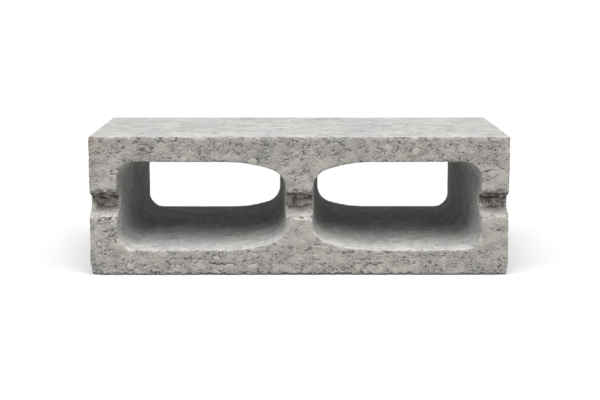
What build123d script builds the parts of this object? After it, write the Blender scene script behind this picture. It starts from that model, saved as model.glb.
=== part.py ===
from build123d import *
from math import asin, cos, degrees
import os

# Hollow two-core concrete block, lying on one face shell as in the photograph.
# +X runs along the block, +Y from the bed with the wide core mouths to the
# other bed, +Z up through the thickness of the wall it would make.

# Outer size
block_length = 450.0
block_height = 225.0
block_thickness = 150.0
arris_radius = 1.5

# Walls at the bed where the cores were drawn out
mouth_shell = 27.5
mouth_end_web = 30.0
mouth_mid_web = 29.0
mouth_outer_radius = 19.0
mouth_inner_radius = 22.0
mouth_edge_radius = 1.0

# The long curve by which each core narrows towards the middle web
flare_start = 80.0
flare_radius = 160.0

# Draft of the cores: what each wall gains in thickness from bed to bed
core_draft = 14.0
mid_web_draft = 8.5
far_outer_radius = 17.0
far_inner_radius = 20.0

# Imprint of the bar that carried the cores, across the three webs
groove_mouth = 26.0
groove_floor = 12.0
groove_depth = 21.0
groove_floor_radius = 3.5
groove_rise = 2.0

mid_height = block_thickness / 2
groove_height = mid_height + groove_rise
mouth_plane = Plane(origin=(0, -block_height / 2, mid_height), x_dir=(1, 0, 0), z_dir=(0, -1, 0))
far_plane = Plane(origin=(0, block_height / 2, mid_height), x_dir=(1, 0, 0), z_dir=(0, -1, 0))
groove_plane = Plane(origin=(0, -block_height / 2, groove_height), x_dir=(0, 1, 0), z_dir=(1, 0, 0))

# One core, flared towards the middle web and narrowing from bed to bed
mouth_half = mid_height - mouth_shell
mouth_inner = mouth_mid_web / 2
mouth_outer = block_length / 2 - mouth_end_web
mouth_sweep = asin((flare_start - mouth_inner) / flare_radius)
mouth_inner_half = mouth_half - flare_radius * (1 - cos(mouth_sweep))
far_half = mouth_half - core_draft
far_inner = mouth_inner + mid_web_draft
far_outer = mouth_outer - core_draft
far_flare_radius = flare_radius - core_draft
far_sweep = asin((flare_start - far_inner) / far_flare_radius)
far_inner_half = far_half - far_flare_radius * (1 - cos(far_sweep))

with BuildPart() as core:
    with BuildSketch(mouth_plane) as mouth_outline:
        with BuildLine():
            Line((flare_start, mouth_half), (mouth_outer, mouth_half))
            Line((mouth_outer, mouth_half), (mouth_outer, -mouth_half))
            Line((mouth_outer, -mouth_half), (flare_start, -mouth_half))
            mouth_lower = JernArc((flare_start, -mouth_half), (-1, 0), flare_radius, -degrees(mouth_sweep))
            mouth_upper = JernArc((flare_start, mouth_half), (-1, 0), flare_radius, degrees(mouth_sweep))
            Line(mouth_lower @ 1, mouth_upper @ 1)
        make_face()
        fillet(mouth_outline.vertices().group_by(Axis.X)[0], min(mouth_inner_radius, mouth_inner_half))
        fillet(mouth_outline.vertices().group_by(Axis.X)[-1], min(mouth_outer_radius, mouth_half))
    with BuildSketch(far_plane) as far_outline:
        with BuildLine():
            Line((flare_start, far_half), (far_outer, far_half))
            Line((far_outer, far_half), (far_outer, -far_half))
            Line((far_outer, -far_half), (flare_start, -far_half))
            far_lower = JernArc((flare_start, -far_half), (-1, 0), far_flare_radius, -degrees(far_sweep))
            far_upper = JernArc((flare_start, far_half), (-1, 0), far_flare_radius, degrees(far_sweep))
            Line(far_lower @ 1, far_upper @ 1)
        make_face()
        fillet(far_outline.vertices().group_by(Axis.X)[0], min(far_inner_radius, far_inner_half))
        fillet(far_outline.vertices().group_by(Axis.X)[-1], min(far_outer_radius, far_half))
    loft(ruled=True)
    mirror(about=Plane.YZ)

# The bar's imprint, a trough that is wider at its mouth
with BuildPart() as bar_imprint:
    with BuildSketch(groove_plane) as groove_outline:
        with BuildLine():
            Polyline(
                (0, groove_mouth / 2),
                (groove_depth, groove_floor / 2),
                (groove_depth, -groove_floor / 2),
                (0, -groove_mouth / 2),
                close=True,
            )
        make_face()
        fillet(groove_outline.vertices().group_by(Axis.X)[-1], groove_floor_radius)
    extrude(amount=block_length / 2, both=True)

# The cast block
with BuildPart() as hollow_block:
    with BuildSketch():
        Rectangle(block_length, block_height)
    extrude(amount=block_thickness)
    fillet(hollow_block.edges(), arris_radius)
    add(core.part, mode=Mode.SUBTRACT)
    mouth_face = hollow_block.faces().sort_by(Axis.Y)[0]
    fillet(mouth_face.inner_wires().edges(), mouth_edge_radius)
    add(bar_imprint.part, mode=Mode.SUBTRACT)

hollow_block.part.label = "hollow_block"

os.makedirs("parts", exist_ok=True)
export_step(hollow_block.part, "parts/hollow_block.step")
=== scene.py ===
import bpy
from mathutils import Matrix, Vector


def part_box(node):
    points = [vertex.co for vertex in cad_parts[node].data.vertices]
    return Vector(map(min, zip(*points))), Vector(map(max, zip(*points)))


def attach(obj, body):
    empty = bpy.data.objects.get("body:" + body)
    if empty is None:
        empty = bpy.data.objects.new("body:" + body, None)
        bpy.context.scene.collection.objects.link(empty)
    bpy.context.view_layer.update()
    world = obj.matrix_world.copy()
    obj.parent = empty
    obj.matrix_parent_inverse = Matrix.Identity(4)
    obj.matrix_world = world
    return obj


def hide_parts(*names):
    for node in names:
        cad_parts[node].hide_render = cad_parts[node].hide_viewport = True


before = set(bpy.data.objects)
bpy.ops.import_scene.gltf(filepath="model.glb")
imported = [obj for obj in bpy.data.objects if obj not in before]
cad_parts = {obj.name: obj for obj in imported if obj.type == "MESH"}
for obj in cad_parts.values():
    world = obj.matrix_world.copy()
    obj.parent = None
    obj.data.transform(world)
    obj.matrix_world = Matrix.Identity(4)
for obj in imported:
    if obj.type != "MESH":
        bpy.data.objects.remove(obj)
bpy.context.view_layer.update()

import math

import bpy
from mathutils import Vector

MM = 0.001

# Two numbers in brackets are where something begins and where it is full, unless said otherwise

# The block's box, and the planes that its surface detail is placed by
BLOCK_LOW, BLOCK_HIGH = (Vector(corner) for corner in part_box("hollow_block"))
HALF_LENGTH = (BLOCK_HIGH.x - BLOCK_LOW.x) / 2
HALF_DEPTH = (BLOCK_HIGH.y - BLOCK_LOW.y) / 2
HALF_THICKNESS = (BLOCK_HIGH.z - BLOCK_LOW.z) / 2
MOUTH_FACE_Y = BLOCK_LOW.y
MID_Z = (BLOCK_LOW.z + BLOCK_HIGH.z) / 2
GROOVE_Z = MID_Z + 2 * MM
GROOVE_HALF = 13 * MM

# How finely the cast surface is meshed, and how far the plain sides are thinned
MERGE_DISTANCE = 0.01 * MM
CAST_VOXEL = 1.8 * MM
FINE_ZONE_DEPTH = 3.5 * MM
GROOVE_ZONE_DEPTH = 22 * MM
GROOVE_ZONE_HALF = 15 * MM
PLAIN_SIDE_SHARE = 0.26

# The flat layout of the finish
BAKE_LAYOUT = "OFBake"
LAYOUT_ANGLE = 1.15
LAYOUT_MARGIN = 0.002
MOUTH_FACE_SCALE = 2.2

# Single marks on the mouth face: a loose flake, a stone with a crack round it, a long crack.
# A waver is the size of a line's bends and how far they reach.
CRACK_WIDTH = (0.9 * MM, 0.4 * MM)
FLAKE_X = -0.131
FLAKE_Z = BLOCK_HIGH.z - 5 * MM
FLAKE_WIDTH = 11 * MM
FLAKE_CORNER = 1 * MM
FLAKE_SIDE_WIDTH = (1.1 * MM, 0.5 * MM)
FLAKE_WAVER = (3 * MM, 1.5 * MM)
STONE_PLACE = (-0.015, 0.0, 0.025)
STONE_RADIUS = 6.2 * MM
STONE_WAVER = (5 * MM, 7 * MM)
STONE_CRACK_BREAKS = 5 * MM
STONE_CRACK_OPEN = (0.45, 0.65)
STONE_CRACK_SHARE = 0.7
LONG_CRACK_X = -0.083
LONG_CRACK_Z = 0.013
LONG_CRACK_HALF = 16 * MM
LONG_CRACK_FADE = 3 * MM
LONG_CRACK_WAVER = (9 * MM, 12 * MM)

# The open texture of the mouth face: seams between grains, broken into runs and patches
GRAIN_STRETCH = (0.8, 0.0, 1.0)
SEAM_SIZE = 2.9 * MM
SEAM_WAVER = (2.6 * MM, 4 * MM)
SEAM_WIDTH = (0.15, 0.04)
FINE_SEAM_SIZE = 1.9 * MM
FINE_SEAM_WAVER = (2.0 * MM, 2.6 * MM)
FINE_SEAM_WIDTH = (0.20, 0.05)
RUN_SIZE = 4.6 * MM
WIDE_RUNS = (0.51, 0.58)
THIN_RUNS = (0.66, 0.48)
PATCH_SIZE = 13 * MM
WIDE_PATCHES = (0.36, 0.56)
THIN_PATCHES = (0.28, 0.60)
WEB_BAND = (52 * MM, 38 * MM)
WEB_CALM = 0.10

# Level cracks in the mouth face, and the smooth stones in it with their open rims
CRACK_STRETCH = (0.4, 0.0, 1.2)
CRACK_SIZE = 15 * MM
CRACK_LINE = (0.020, 0.004)
CRACK_PATCH_SIZE = 30 * MM
CRACK_PATCHES = (0.55, 0.60)
CRACK_RUNS = (0.42, 0.50)
STONE_SPACING = 24 * MM
STONES_WAVER = (6 * MM, 4 * MM)
STONE_EDGE = (0.17, 0.14)
STONE_RIM_INSIDE = (0.14, 0.16)
STONE_RIM_OUTSIDE = (0.20, 0.18)
STONE_RIM_RUNS = (0.42, 0.55)
STONE_RIM_SHARE = 0.6

# The zones of the surface, by the way it faces and by its distance from a plane or an edge
FACE_TURN = (-0.2, -0.6)
FACE_DEPTH = (4 * MM, 2 * MM)
GROOVE_BAND = (15 * MM, 12 * MM)
GROOVE_NEAR = (1 * MM, 4 * MM)
GROOVE_FAR = (24 * MM, 21 * MM)
GROOVE_TURN = (0.8, 0.5)
ARRIS_REACH = (4 * MM, 0.5 * MM)
RIM_TURN = (-0.98, -0.7)
RIM_SPREAD = 6
RIM_GAIN = 1.6
RIM_DEPTH = (6 * MM, 3 * MM)
FOOT_REACH = (6 * MM, 2 * MM)
LIP_REACH = (4 * MM, 1 * MM)
LIP_DEPTH = (5 * MM, 2 * MM)
LOWER_CORNER = (HALF_LENGTH, MOUTH_FACE_Y, 0.0)
CORNER_REACH = (14 * MM, 3 * MM)
LEFT_SIDE = (50 * MM, -50 * MM)
OFF_FLOOR = (0.2 * MM, 3 * MM)

# The relief. Heights and depths without a unit are in millimetres.
WAVE_SIZE = 60 * MM
WAVE_HEIGHT = 0.7 * MM
GRAIN_SIZE = 5 * MM
GRAIN_HEIGHT = 0.4
FACE_GRAIN_HEIGHT = 0.25
WIDE_GAP_DEPTH = 0.9
THIN_GAP_DEPTH = 0.4
STONE_HEIGHT = 0.2
CHIP_SIZE = 6 * MM
EDGE_CHIPS = (0.48, 0.72)
LIP_CHIPS = (0.40, 0.66)
FOOT_CHIPS = (0.42, 0.70)
ARRIS_NICK_DEPTH = 0.4
RIM_NICK_DEPTH = 2.2
LIP_NICK_DEPTH = 3.2 * MM
FOOT_WEAR_DEPTH = 1.8
CORNER_WEAR_DEPTH = 1.4
LEFT_CORNER_WEAR_DEPTH = 1.8
RUBBLE_SIZE = 6 * MM
RUBBLE_MIDDLE = 0.45
RUBBLE_HEIGHT = 5.5 * MM
SKIN_DEPTH = 0.25 * MM
HIGHEST_RELIEF = 5 * MM

# What the relief stores on the surface for the finish
SURFACE_MARKS = ("face", "groove", "edge", "rim")

# The colours of the finish
SKIN_DARK = (183, 183, 182)
SKIN_PALE = (192, 191, 188)
BARE_DARK = (182, 179, 173)
BARE_PALE = (190, 186, 179)
WARM_TINT = (190, 172, 152)
# The pale tint of the painted light on the groove's lower ledge, and the dark brown of the painted
# shade in the groove
LEDGE_PAINTED_LIGHT_TINT = (196, 195, 193)
GROOVE_SHADOW_BROWN = (60, 49, 38)
CORNER_STAIN = (162, 141, 110)

# The sizes of the finish's patterns
CLOUD_SIZE = 45 * MM
CLOUDS = (0.35, 0.65)
WARM_SIZE = 18 * MM
WARM_PATCHES = (0.62, 0.78)
SAND_SIZE = 1.5 * MM
SPECK_SIZE = 3.2 * MM
MOTTLE_SIZE = 11 * MM
GRAIN_SPACING = 3.5 * MM
DRIFT_SIZE = 26 * MM
PORE_SPACING = 3.2 * MM
PORES = (0.30, 0.12)
PORE_PATCH_SIZE = 12 * MM
PORE_PATCHES = (0.50, 0.60)
HAIR_SIZE = 24 * MM
HAIR_LINE = (0.018, 0.004)

# How much each pattern and zone lightens or darkens the concrete, as a share; several of them are
# painted light or painted shade
SKIN_COARSENESS = 0.55
BARE_COARSENESS = 0.45
SAND_CONTRAST = 0.75
SPECK_CONTRAST = 0.4
GRAIN_CONTRAST = 0.14
MOTTLE_CONTRAST = 0.7
DRIFT_CONTRAST = 0.6
WARM_SHARE = 0.25
# Painted shade in the mouth face's gaps, cracks and open stone rims, and in the skin's pores
WIDE_GAP_PAINTED_SHADE = 0.70
THIN_GAP_PAINTED_SHADE = 0.36
PORE_PAINTED_SHADE = 0.45
HAIR_SHADE = 0.3
STONE_LIGHT = 0.02
# Painted highlight along the arrises, off the mouth face
EDGE_PAINTED_HIGHLIGHT = 0.03
# Painted light on the core mouths' rims, which are also chipped in the relief
RIM_PAINTED_LIGHT = 0.08
# Painted light on the core walls near the mouths, fading with depth into the cores
MOUTH_PAINTED_LIGHT = 0.10
MOUTH_PAINTED_LIGHT_REACH = (70 * MM, 5 * MM)
# Painted contact shadow along the foot arris, where the block meets the floor
FOOT_PAINTED_SHADOW = 0.5
FOOT_PAINTED_SHADOW_BAND = (5 * MM, 1.5 * MM)
# Painted shade along the top of the mouth face, just under its upper arris
BROW_PAINTED_SHADE = 0.2
BROW_PAINTED_SHADE_BAND = (BLOCK_HIGH.z - 2.5 * MM, BLOCK_HIGH.z - 0.5 * MM)

# The groove: clods with seams in painted shade, a crease low down in painted shade, a painted brown
# shadow under the lip, painted light over the groove, and a pale painted light on the lower ledge
# Painted light that lifts the whole groove; LEDGE_SHADE takes it off the lower ledge again, leaving
# that a little darker
GROOVE_PAINTED_LIGHT = 0.36
LEDGE_SHADE = 0.4
LEDGE_BAND = (GROOVE_Z - 5 * MM, GROOVE_Z - 8 * MM)
# How far the lower ledge is mixed towards its pale painted light, where it faces up
LEDGE_PAINTED_LIGHT_SHARE = 0.25
LEDGE_CALM = 0.6
CLOD_STRETCH = (1.5, 0.6, 0.55)
CLOD_WAVER = (4 * MM, 3 * MM)
CLOD_SIZE = 3.4 * MM
CLOD_SEAM = (0.24, 0.06)
CLOD_PATCH_SIZE = 6 * MM
CLOD_PATCHES = (0.42, 0.56)
# How far the seams between clods, and the crease, are painted in brown shade
CLOD_SEAM_SHADE_SHARE = 0.72
CREASE_DROP = 5.5 * MM
CREASE_WIDTH = (1.6 * MM, 0.5 * MM)
CREASE_PATCH_SIZE = 5 * MM
CREASE_PATCHES = (0.42, 0.55)
OVERHANG_BAND = (GROOVE_Z, GROOVE_Z + 5 * MM)
# The patches of painted brown shadow under the groove's upper lip
OVERHANG_SHADOW_PATCH_SIZE = 7 * MM
OVERHANG_SHADOW_PATCHES = (0.38, 0.54)
OVERHANG_SHADOW_SHARE = 0.88

# The upper corner of the mouth face that has a brown stain
STAINED_CORNER = (BLOCK_LOW.x, BLOCK_LOW.y, BLOCK_HIGH.z)
STAIN_REACH = (14 * MM, 5 * MM)
STAIN_PATCH_SIZE = 4 * MM
STAIN_PATCHES = (0.26, 0.58)
STAIN_SHARE = 0.5

# The fine relief that is left to the material, and its gloss
SAND_BUMP = 0.6
SPECK_BUMP = 0.7
MOTTLE_BUMP = 0.8
PORE_BUMP = 0.7
GAP_BUMP = 1.2
BUMP_STRENGTH = 0.6
BUMP_HEIGHT = 0.7 * MM
CONCRETE_ROUGHNESS = 0.93
CONCRETE_SPECULAR = 0.25

# The camera, as the photograph was taken
CAMERA_PLACE = (-0.0042, -1.7014, 0.3168)
CAMERA_PITCH = math.radians(8.41)
CAMERA_YAW = math.radians(-0.18)
CAMERA_LENS = 90.1

# The light and the floor
WHITE = (1, 1, 1, 1)
LAMP_STRENGTH = 3.8
LAMP_WIDTH = math.radians(56)
LAMP_HEIGHT = math.radians(62)
ROOM_LIGHT = 0.17
FLOOR_SEEN = (0.815, 0.815, 0.815, 1)
FLOOR_BOUNCE = (0.36, 0.36, 0.36, 1)
FLOOR_WHITE_SHARE = 0.14
FLOOR_SIZE = 120


class Wire:
    """A socket of a node tree. Arithmetic on it adds Math nodes to the tree."""

    def __init__(self, graph, socket):
        self.graph = graph
        self.socket = socket

    def math(self, operation, *values):
        return self.graph.add("ShaderNodeMath", {"operation": operation}, dict(enumerate(values)))

    def __add__(self, other):
        return self.math("ADD", self, other)

    def __radd__(self, other):
        return self.math("ADD", other, self)

    def __sub__(self, other):
        return self.math("SUBTRACT", self, other)

    def __rsub__(self, other):
        return self.math("SUBTRACT", other, self)

    def __mul__(self, other):
        return self.math("MULTIPLY", self, other)

    def __rmul__(self, other):
        return self.math("MULTIPLY", other, self)

    def __abs__(self):
        return self.math("ABSOLUTE", self)

    def least(self, other):
        return self.math("MINIMUM", self, other)

    def most(self, other):
        return self.math("MAXIMUM", self, other)

    def rise(self, start, end):
        """0 below start, 1 above end and smooth between. With start above end it falls."""
        low, high = min(start, end), max(start, end)
        ends = (0.0, 1.0) if start < end else (1.0, 0.0)
        sockets = {
            "Value": self,
            "From Min": low,
            "From Max": high,
            "To Min": ends[0],
            "To Max": ends[1],
        }
        return self.graph.add("ShaderNodeMapRange", {"interpolation_type": "SMOOTHSTEP"}, sockets)


class Graph:
    """A node tree that nodes are added to, for a material or for a surface."""

    def __init__(self, tree):
        self.tree = tree

    def add(self, kind, settings=None, sockets=None, out=0):
        """Adds a node, makes its settings, fills its sockets, and gives one of its outputs."""
        node = self.tree.nodes.new(kind)
        for name, setting in (settings or {}).items():
            setattr(node, name, setting)
        for key, value in (sockets or {}).items():
            if isinstance(value, Wire):
                self.tree.links.new(value.socket, node.inputs[key])
            else:
                node.inputs[key].default_value = value
        return Wire(self, node.outputs[out]) if len(node.outputs) else node

    def split(self, vector):
        node = self.add("ShaderNodeSeparateXYZ", None, {0: vector}).socket.node
        return [Wire(self, socket) for socket in node.outputs]

    def vector(self, operation, *values):
        return self.add("ShaderNodeVectorMath", {"operation": operation}, dict(enumerate(values)))

    def distance(self, place, point):
        settings = {"operation": "DISTANCE"}
        return self.add("ShaderNodeVectorMath", settings, {0: place, 1: point}, "Value")

    def noise(self, vector, size, detail=2.0, roughness=0.5):
        """Cloudy noise from 0 to 1, with features about as large as size, in metres."""
        sockets = {
            "Vector": vector,
            "Scale": 1 / size,
            "Detail": detail,
            "Roughness": roughness,
        }
        return self.add("ShaderNodeTexNoise", None, sockets)

    def cells(self, vector, size, feature="F1", out=0):
        """Distance to the nearest of scattered points about size apart, to the seams between
        them, or the points' own colours."""
        sockets = {"Vector": vector, "Scale": 1 / size}
        return self.add("ShaderNodeTexVoronoi", {"feature": feature}, sockets, out)

    def warped(self, vector, size, reach):
        """The place moved about by noise, so that cells and seams run unevenly."""
        sockets = {"Vector": vector, "Scale": 1 / size, "Detail": 2.0}
        drift = self.add("ShaderNodeTexNoise", None, sockets, "Color")
        centred = self.vector("SUBTRACT", drift, (0.5, 0.5, 0.5))
        return self.vector("MULTIPLY_ADD", centred, (reach, reach, reach), vector)

    def seen(self):
        """1 for what is seen directly, in a reflection or through glass, and 0 for other light."""
        outputs = self.add("ShaderNodeLightPath").socket.node.outputs
        ways = ("Is Camera Ray", "Is Glossy Ray", "Is Transmission Ray")
        direct, glossy, through = (Wire(self, outputs[way]) for way in ways)
        return direct.most(glossy).most(through)

    def blend(self, factor, colour_a, colour_b, mode="MIX"):
        """Two colours mixed. Sockets 6 and 7 and output 2 of a Mix node are its colours."""
        settings = {"data_type": "RGBA", "blend_type": mode}
        return self.add("ShaderNodeMix", settings, {0: factor, 6: colour_a, 7: colour_b}, 2)


def srgb(red, green, blue):
    """A given colour, as the linear colour that Blender takes."""
    shares = [channel / 255 for channel in (red, green, blue)]
    linear = [s / 12.92 if s <= 0.04045 else ((s + 0.055) / 1.055) ** 2.4 for s in shares]
    return (*linear, 1.0)


def deselect_all():
    bpy.ops.object.select_all(action="DESELECT")


def make_active(piece):
    deselect_all()
    piece.select_set(True)
    bpy.context.view_layer.objects.active = piece


def select_faces(piece, wanted):
    """Selects, in edit mode, the faces whose centre passes the test."""
    bpy.ops.object.mode_set(mode="EDIT")
    bpy.ops.mesh.select_mode(type="FACE")
    bpy.ops.mesh.select_all(action="DESELECT")
    bpy.ops.object.mode_set(mode="OBJECT")
    for face in piece.data.polygons:
        face.select = wanted(face.center)
    bpy.ops.object.mode_set(mode="EDIT")


# The cast surface: waves, open texture, cracks, chipped edges and the rough groove


def mouth_face_depth(place):
    return place.y - MOUTH_FACE_Y


def on_fine_face(place):
    return mouth_face_depth(place) < FINE_ZONE_DEPTH


def in_fine_zone(place):
    """The mouth face, its edges and the groove, which are seen closest."""
    near_groove = abs(place.z - GROOVE_Z) < GROOVE_ZONE_HALF
    return on_fine_face(place) or (mouth_face_depth(place) < GROOVE_ZONE_DEPTH and near_groove)


def flake_crack(g, place):
    """The angled crack round a loose flake at the upper edge of the mouth face."""
    x, _, z = g.split(g.warped(place, *FLAKE_WAVER))
    side = abs(x - FLAKE_X).rise(*FLAKE_SIDE_WIDTH) * z.rise(FLAKE_Z - FLAKE_CORNER, FLAKE_Z)
    bottom = abs(z - FLAKE_Z).rise(*CRACK_WIDTH) * x.rise(FLAKE_X - FLAKE_WIDTH, FLAKE_X)
    bottom = bottom * x.rise(FLAKE_X + FLAKE_CORNER, FLAKE_X)
    return side.most(bottom)


def stone_crack(g, place):
    """The crack round one large stone near the foot of the middle web."""
    flat = g.vector("MULTIPLY", g.warped(place, *STONE_WAVER), (1.0, 0.0, 1.0))
    ring = abs(g.distance(flat, STONE_PLACE) - STONE_RADIUS).rise(*CRACK_WIDTH)
    return ring * g.noise(flat, STONE_CRACK_BREAKS).rise(*STONE_CRACK_OPEN) * STONE_CRACK_SHARE


def long_crack(g, place):
    """The wavering crack along the lower shell."""
    x, _, z = g.split(g.warped(place, *LONG_CRACK_WAVER))
    line = abs(z - LONG_CRACK_Z).rise(*CRACK_WIDTH)
    return line * abs(x - LONG_CRACK_X).rise(LONG_CRACK_HALF, LONG_CRACK_HALF - LONG_CRACK_FADE)


def crumbs(g, place):
    """The open texture of the mouth face: wide and thin gaps between grains, and smooth stones.

    It depends on length and thickness only, so that the relief and the finish agree."""
    flat = g.vector("MULTIPLY", place, GRAIN_STRETCH)
    seams = g.cells(g.warped(flat, *SEAM_WAVER), SEAM_SIZE, "DISTANCE_TO_EDGE")
    fine_seams = g.cells(g.warped(flat, *FINE_SEAM_WAVER), FINE_SEAM_SIZE, "DISTANCE_TO_EDGE")
    runs = g.noise(flat, RUN_SIZE)
    on_webs = abs(g.split(place)[2] - MID_Z).rise(*WEB_BAND)
    patches = g.noise(flat, PATCH_SIZE, detail=3.0, roughness=0.6) - WEB_CALM * on_webs

    along = g.vector("MULTIPLY", place, CRACK_STRETCH)
    cracks = abs(g.noise(along, CRACK_SIZE, detail=3.0, roughness=0.55) - 0.5).rise(*CRACK_LINE)
    cracks = cracks * g.noise(flat, CRACK_PATCH_SIZE).rise(*CRACK_PATCHES) * runs.rise(*CRACK_RUNS)
    spots = g.cells(g.warped(flat, *STONES_WAVER), STONE_SPACING)
    stones = spots.rise(*STONE_EDGE)
    stone_rims = spots.rise(*STONE_RIM_INSIDE) * spots.rise(*STONE_RIM_OUTSIDE)
    stone_rims = stone_rims * runs.rise(*STONE_RIM_RUNS)

    wide = seams.rise(*SEAM_WIDTH) * runs.rise(*WIDE_RUNS) * patches.rise(*WIDE_PATCHES)
    wide = wide.most(cracks).most(stone_rims * STONE_RIM_SHARE) * (1 - stones)
    for single_mark in (flake_crack, stone_crack, long_crack):
        wide = wide.most(single_mark(g, place))
    thin = fine_seams.rise(*FINE_SEAM_WIDTH) * runs.rise(*THIN_RUNS) * patches.rise(*THIN_PATCHES)
    thin = thin * (1 - stones)
    return wide, thin, stones


def mouth_rim(g, depth, at_mouth_edge):
    """The worn rims of the core mouths, spread over the points beside the edge."""
    sockets = {0: at_mouth_edge, "Iterations": RIM_SPREAD}
    spread = g.add("GeometryNodeBlurAttribute", {"data_type": "FLOAT"}, sockets)
    return (spread * RIM_GAIN).least(1.0) * depth.rise(*RIM_DEPTH)


def wear(g, place, depth, at_arris, at_rim):
    """How deep the chipped arrises, rims and groove lips and the worn foot and corners are."""
    x, y, z = g.split(place)
    chips = g.noise(place, CHIP_SIZE, detail=3.0)
    near_lip = abs(abs(z - GROOVE_Z) - GROOVE_HALF).rise(*LIP_REACH) * depth.rise(*LIP_DEPTH)
    edge_nicks = at_arris * ARRIS_NICK_DEPTH + at_rim * RIM_NICK_DEPTH
    nicks = chips.rise(*EDGE_CHIPS) * edge_nicks * MM
    nicks = nicks + chips.rise(*LIP_CHIPS) * near_lip * LIP_NICK_DEPTH

    mirrored = g.add("ShaderNodeCombineXYZ", None, {0: abs(x), 1: y, 2: z})
    at_corner = g.distance(mirrored, LOWER_CORNER).rise(*CORNER_REACH)
    on_left = x.rise(*LEFT_SIDE)
    corners = at_corner * (CORNER_WEAR_DEPTH + LEFT_CORNER_WEAR_DEPTH * on_left) * MM
    at_foot = at_arris * z.rise(*FOOT_REACH)
    foot = at_foot * FOOT_WEAR_DEPTH * chips.rise(*FOOT_CHIPS) * MM
    return nicks, foot + corners


def cast_relief():
    """The node group that moves the block's surface in and out, and keeps it in the block's box."""
    group = bpy.data.node_groups.new("cast_relief", "GeometryNodeTree")
    for way in ("INPUT", "OUTPUT"):
        group.interface.new_socket("Geometry", in_out=way, socket_type="NodeSocketGeometry")
    g = Graph(group)
    solid = g.add("NodeGroupInput")
    place = g.add("GeometryNodeInputPosition")
    normal = g.add("GeometryNodeInputNormal")
    x, y, z = g.split(place)
    normal_x, normal_y, _ = g.split(normal)

    depth = y - MOUTH_FACE_Y
    on_face = normal_y.rise(*FACE_TURN) * depth.rise(*FACE_DEPTH)
    in_groove = abs(z - GROOVE_Z).rise(*GROOVE_BAND) * depth.rise(*GROOVE_NEAR)
    in_groove = in_groove * depth.rise(*GROOVE_FAR) * abs(normal_x).rise(*GROOVE_TURN)
    from_end = HALF_LENGTH - abs(x)
    from_bed = HALF_DEPTH - abs(y)
    from_shell = HALF_THICKNESS - abs(z - MID_Z)
    from_arris = from_end.most(from_bed).least(from_bed.most(from_shell))
    from_arris = from_arris.least(from_end.most(from_shell))
    at_arris = from_arris.rise(*ARRIS_REACH)
    at_mouth_edge = depth.rise(*ARRIS_REACH) * normal_y.rise(*RIM_TURN)
    at_edge = at_arris.most(at_mouth_edge)
    at_rim = mouth_rim(g, depth, at_mouth_edge)

    waves = (g.noise(place, WAVE_SIZE) - 0.5) * WAVE_HEIGHT
    grain_height = GRAIN_HEIGHT + FACE_GRAIN_HEIGHT * on_face
    grain = (g.noise(place, GRAIN_SIZE, detail=3.0) - 0.5) * grain_height * MM
    wide, thin, stones = crumbs(g, place)
    gaps = wide * WIDE_GAP_DEPTH + thin * THIN_GAP_DEPTH - stones * STONE_HEIGHT
    gaps = gaps * on_face * MM
    nicks, worn = wear(g, place, depth, at_arris, at_rim)
    rubble = g.noise(place, RUBBLE_SIZE, detail=4.0, roughness=0.65) - RUBBLE_MIDDLE
    rubble = rubble * in_groove * RUBBLE_HEIGHT
    off_floor = z.rise(*OFF_FLOOR)
    offset = waves + grain - gaps - nicks - worn + rubble - off_floor * SKIN_DEPTH
    offset = offset.least(off_floor * HIGHEST_RELIEF)

    along_normal = {0: normal, "Scale": offset}
    shift = g.add("ShaderNodeVectorMath", {"operation": "SCALE"}, along_normal)
    moved = g.vector("MINIMUM", g.vector("ADD", place, shift), BLOCK_HIGH)
    moved = g.vector("MAXIMUM", moved, BLOCK_LOW)
    block = g.add("GeometryNodeSetPosition", None, {"Geometry": solid, "Position": moved})
    settings = {"data_type": "FLOAT", "domain": "POINT"}
    for name, value in zip(SURFACE_MARKS, (on_face, in_groove, at_edge, at_rim)):
        sockets = {"Geometry": block, "Name": name, "Value": value}
        block = g.add("GeometryNodeStoreNamedAttribute", settings, sockets)
    g.add("NodeGroupOutput", None, {0: block})
    return group


def lay_out_finish(block):
    """Flattens the surface for a baked finish, and gives the mouth face more room on it."""
    layout = block.data.uv_layers.new(name=BAKE_LAYOUT)
    block.data.uv_layers.active = layout
    bpy.ops.object.mode_set(mode="EDIT")
    bpy.ops.mesh.select_all(action="SELECT")
    bpy.ops.uv.smart_project(angle_limit=LAYOUT_ANGLE, island_margin=LAYOUT_MARGIN)
    bpy.ops.object.mode_set(mode="OBJECT")
    corners = block.data.uv_layers[BAKE_LAYOUT].uv
    for face in block.data.polygons:
        if on_fine_face(face.center):
            for corner in face.loop_indices:
                corners[corner].vector = corners[corner].vector * MOUTH_FACE_SCALE
    bpy.ops.object.mode_set(mode="EDIT")
    bpy.ops.uv.select_all(action="SELECT")
    bpy.ops.uv.pack_islands(
        rotate_method="AXIS_ALIGNED", margin=LAYOUT_MARGIN, shape_method="AABB"
    )
    bpy.ops.mesh.select_all(action="DESELECT")
    bpy.ops.object.mode_set(mode="OBJECT")


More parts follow.
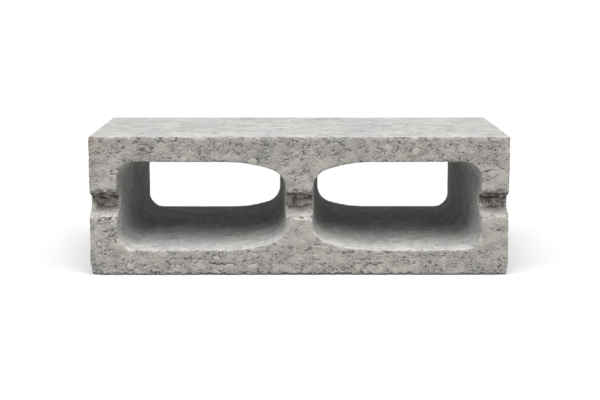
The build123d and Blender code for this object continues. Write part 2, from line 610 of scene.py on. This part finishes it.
def cast_block():
    """The block with its cast surface, remeshed from the CAD solid so that it keeps its sizes."""
    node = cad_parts["hollow_block"]
    block = bpy.data.objects.new("cast_block", node.data.copy())
    bpy.context.scene.collection.objects.link(block)
    make_active(block)
    bpy.ops.object.mode_set(mode="EDIT")
    bpy.ops.mesh.select_all(action="SELECT")
    bpy.ops.mesh.remove_doubles(threshold=MERGE_DISTANCE)
    bpy.ops.object.mode_set(mode="OBJECT")

    remesh = block.modifiers.new("even_mesh", "REMESH")
    remesh.mode = "VOXEL"
    remesh.voxel_size = CAST_VOXEL
    bpy.ops.object.modifier_apply(modifier=remesh.name)
    true_sizes = block.modifiers.new("true_sizes", "SHRINKWRAP")
    true_sizes.target = node
    bpy.ops.object.modifier_apply(modifier=true_sizes.name)
    select_faces(block, on_fine_face)
    bpy.ops.mesh.subdivide(number_cuts=1)
    bpy.ops.object.mode_set(mode="OBJECT")
    relief = block.modifiers.new("cast_relief", "NODES")
    relief.node_group = cast_relief()
    bpy.ops.object.modifier_apply(modifier=relief.name)

    select_faces(block, lambda centre: not in_fine_zone(centre))
    bpy.ops.mesh.decimate(ratio=PLAIN_SIDE_SHARE)
    bpy.ops.mesh.select_all(action="DESELECT")
    bpy.ops.object.mode_set(mode="OBJECT")
    bpy.ops.object.shade_smooth()

    block.data.materials.clear()
    block.data.materials.append(concrete())
    lay_out_finish(block)
    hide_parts("hollow_block")
    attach(block, "root")


# The finish


def concrete_tone(g, place, bare_share):
    """The plain colour: grey skin from the mould, sandier where it is bare, with warm patches."""
    cloud = g.noise(place, CLOUD_SIZE, detail=3.0).rise(*CLOUDS)
    skin = g.blend(cloud, srgb(*SKIN_DARK), srgb(*SKIN_PALE))
    bare = g.blend(cloud, srgb(*BARE_DARK), srgb(*BARE_PALE))
    tone = g.blend(bare_share, skin, bare)
    warm = g.noise(place, WARM_SIZE).rise(*WARM_PATCHES)
    return g.blend(warm * WARM_SHARE, tone, srgb(*WARM_TINT))


def groove_clods(g, place, height, groove, ledge):
    """The seams between the clods in the groove and the crease low in it: painted in brown shade,
    and sunk as bump.
    """
    upright = g.warped(g.vector("MULTIPLY", place, CLOD_STRETCH), *CLOD_WAVER)
    clods = g.cells(upright, CLOD_SIZE, "DISTANCE_TO_EDGE").rise(*CLOD_SEAM)
    clods = clods * groove * g.noise(place, CLOD_PATCH_SIZE).rise(*CLOD_PATCHES)
    crease = abs(height - GROOVE_Z + CREASE_DROP).rise(*CREASE_WIDTH) * groove
    crease = crease * g.noise(place, CREASE_PATCH_SIZE).rise(*CREASE_PATCHES)
    return clods.most(crease) * (1 - LEDGE_CALM * ledge)


def concrete():
    """Dry grey concrete: a pale smooth skin from the mould, and a crumbly sandy mouth face, with
    light and shade painted in at the gaps, mouths, arrises, foot and groove.
    """
    material = bpy.data.materials.new("dry_concrete")
    material.use_nodes = True
    material.node_tree.nodes.clear()
    g = Graph(material.node_tree)
    place = g.add("ShaderNodeTexCoord", out="Object")
    face, groove, edge, rim = (
        g.add("ShaderNodeAttribute", {"attribute_name": name}, out="Fac") for name in SURFACE_MARKS
    )
    bare_share = face.most(groove)
    _, y, height = g.split(place)

    sand = g.noise(place, SAND_SIZE, detail=3.0, roughness=0.75)
    specks = g.noise(place, SPECK_SIZE, roughness=0.6)
    mottle = g.noise(place, MOTTLE_SIZE, detail=4.0, roughness=0.68)
    grains = g.split(g.cells(place, GRAIN_SPACING, out="Color"))[0]
    drifts = g.noise(place, DRIFT_SIZE, detail=3.0, roughness=0.55)
    fine = SAND_CONTRAST * (sand - 0.5) + SPECK_CONTRAST * (specks - 0.5)
    fine = fine + GRAIN_CONTRAST * (grains - 0.5)
    broad = MOTTLE_CONTRAST * (mottle - 0.5) + DRIFT_CONTRAST * (drifts - 0.5)
    coarse = SKIN_COARSENESS + BARE_COARSENESS * bare_share
    light = 1.0 + coarse * fine + (1 - face) * broad

    pores = g.cells(place, PORE_SPACING).rise(*PORES)
    pores = pores * g.noise(place, PORE_PATCH_SIZE).rise(*PORE_PATCHES)
    hairs = abs(g.noise(place, HAIR_SIZE, detail=4.0, roughness=0.6) - 0.5).rise(*HAIR_LINE)
    hairs = hairs * (1 - face)
    wide, thin, stones = crumbs(g, place)
    # Painted shade in the mouth face's gaps, cracks and open stone rims, and in the skin's pores,
    # on top of their sunk relief
    gaps = (wide * WIDE_GAP_PAINTED_SHADE).most(thin * THIN_GAP_PAINTED_SHADE) * face
    light = light * (1 - gaps) * (1 - PORE_PAINTED_SHADE * pores * (1 - face)) * (1 - HAIR_SHADE * hairs)

    # Painted light on the core walls near the mouths, fading with depth into the cores
    painted_mouth_light = (y - MOUTH_FACE_Y).rise(*MOUTH_PAINTED_LIGHT_REACH) * (1 - bare_share)
    # Painted contact shadow along the foot arris, where the block meets the floor
    foot = edge * height.rise(*FOOT_PAINTED_SHADOW_BAND)
    # Painted shade along the top of the mouth face, just under its upper arris
    painted_brow_shade = face * height.rise(*BROW_PAINTED_SHADE_BAND)
    ledge = groove * height.rise(*LEDGE_BAND)
    # Stones a little lighter in their own colour, a painted highlight on the arrises and painted
    # light on the mouths' rims
    paler = STONE_LIGHT * stones * face + EDGE_PAINTED_HIGHLIGHT * edge * (1 - face) + RIM_PAINTED_LIGHT * rim
    paler = paler + MOUTH_PAINTED_LIGHT * painted_mouth_light
    light = light * (1 + paler - FOOT_PAINTED_SHADOW * foot - BROW_PAINTED_SHADE * painted_brow_shade)
    # Painted light over the whole groove, taken off its lower ledge again, which ends a little
    # darker
    light = light * (1 + GROOVE_PAINTED_LIGHT * groove - LEDGE_SHADE * ledge)
    shade = g.add("ShaderNodeCombineColor", None, {0: light, 1: light, 2: light})
    colour = g.blend(1.0, concrete_tone(g, place, bare_share), shade, "MULTIPLY")

    clods = groove_clods(g, place, height, groove, ledge)
    # Painted shade in the groove: a brown shadow under its upper lip, and brown shade in the clod
    # seams and the crease
    overhang = groove * height.rise(*OVERHANG_BAND)
    painted_overhang_shadow = overhang * g.noise(place, OVERHANG_SHADOW_PATCH_SIZE, detail=3.0).rise(*OVERHANG_SHADOW_PATCHES)
    painted_groove_shade = (painted_overhang_shadow * OVERHANG_SHADOW_SHARE).most(clods * CLOD_SEAM_SHADE_SHARE)
    stain = g.distance(place, STAINED_CORNER).rise(*STAIN_REACH)
    stain = stain * g.noise(place, STAIN_PATCH_SIZE).rise(*STAIN_PATCHES)
    # The lower ledge is mixed towards a pale tint, painted light where it faces up
    colour = g.blend(ledge * LEDGE_PAINTED_LIGHT_SHARE, colour, srgb(*LEDGE_PAINTED_LIGHT_TINT))
    colour = g.blend(painted_groove_shade, colour, srgb(*GROOVE_SHADOW_BROWN))
    colour = g.blend(stain * STAIN_SHARE, colour, srgb(*CORNER_STAIN))

    relief = sand * SAND_BUMP + specks * SPECK_BUMP + mottle * MOTTLE_BUMP
    relief = relief - pores * PORE_BUMP - gaps * GAP_BUMP - clods
    sockets = {"Strength": BUMP_STRENGTH, "Distance": BUMP_HEIGHT, "Height": relief}
    bump = g.add("ShaderNodeBump", None, sockets)
    sockets = {
        "Base Color": colour,
        "Roughness": CONCRETE_ROUGHNESS,
        "Specular IOR Level": CONCRETE_SPECULAR,
        "Normal": bump,
    }
    finish = g.add("ShaderNodeBsdfPrincipled", None, sockets)
    g.add("ShaderNodeOutputMaterial", None, {0: finish})
    return material


# The floor, the light and the camera


def pale_floor():
    """A white floor that keeps the block's soft shadow."""
    material = bpy.data.materials.new("pale_floor")
    material.use_nodes = True
    material.node_tree.nodes.clear()
    g = Graph(material.node_tree)
    lit = g.add("ShaderNodeBsdfDiffuse", None, {"Color": FLOOR_SEEN})
    white = g.add("ShaderNodeEmission", None, {"Color": WHITE, "Strength": 1.0})
    shown = g.add("ShaderNodeMixShader", None, {0: FLOOR_WHITE_SHARE, 1: lit, 2: white})
    bounce = g.add("ShaderNodeBsdfDiffuse", None, {"Color": FLOOR_BOUNCE})
    mixed = g.add("ShaderNodeMixShader", None, {0: g.seen(), 1: bounce, 2: shown})
    g.add("ShaderNodeOutputMaterial", None, {0: mixed})

    deselect_all()
    bpy.ops.mesh.primitive_plane_add(size=FLOOR_SIZE)
    floor = bpy.context.active_object
    floor.name = "pale_floor"
    floor.data.materials.append(material)


def soft_light():
    """A pale room and one wide soft lamp above and in front."""
    world = bpy.data.worlds.new("pale_room")
    world.use_nodes = True
    world.node_tree.nodes.clear()
    g = Graph(world.node_tree)
    white = g.add("ShaderNodeBackground", None, {"Color": WHITE, "Strength": 1.0})
    room = g.add("ShaderNodeBackground", None, {"Color": WHITE, "Strength": ROOM_LIGHT})
    mixed = g.add("ShaderNodeMixShader", None, {0: g.seen(), 1: room, 2: white})
    g.add("ShaderNodeOutputWorld", None, {0: mixed})
    bpy.context.scene.world = world

    lamp = bpy.data.lights.new("wide_lamp", "SUN")
    lamp.energy = LAMP_STRENGTH
    lamp.angle = LAMP_WIDTH
    holder = bpy.data.objects.new("wide_lamp", lamp)
    bpy.context.scene.collection.objects.link(holder)
    holder.rotation_euler = (math.pi / 2 - LAMP_HEIGHT, 0, 0)


def photo_camera():
    camera = bpy.data.objects.new("camera", bpy.data.cameras.new("camera"))
    bpy.context.scene.collection.objects.link(camera)
    camera.location = CAMERA_PLACE
    camera.rotation_euler = (math.pi / 2 - CAMERA_PITCH, 0, CAMERA_YAW)
    camera.data.lens = CAMERA_LENS
    bpy.context.scene.camera = camera


cast_block()
pale_floor()
soft_light()
photo_camera()
bpy.context.scene.view_settings.view_transform = "Standard"
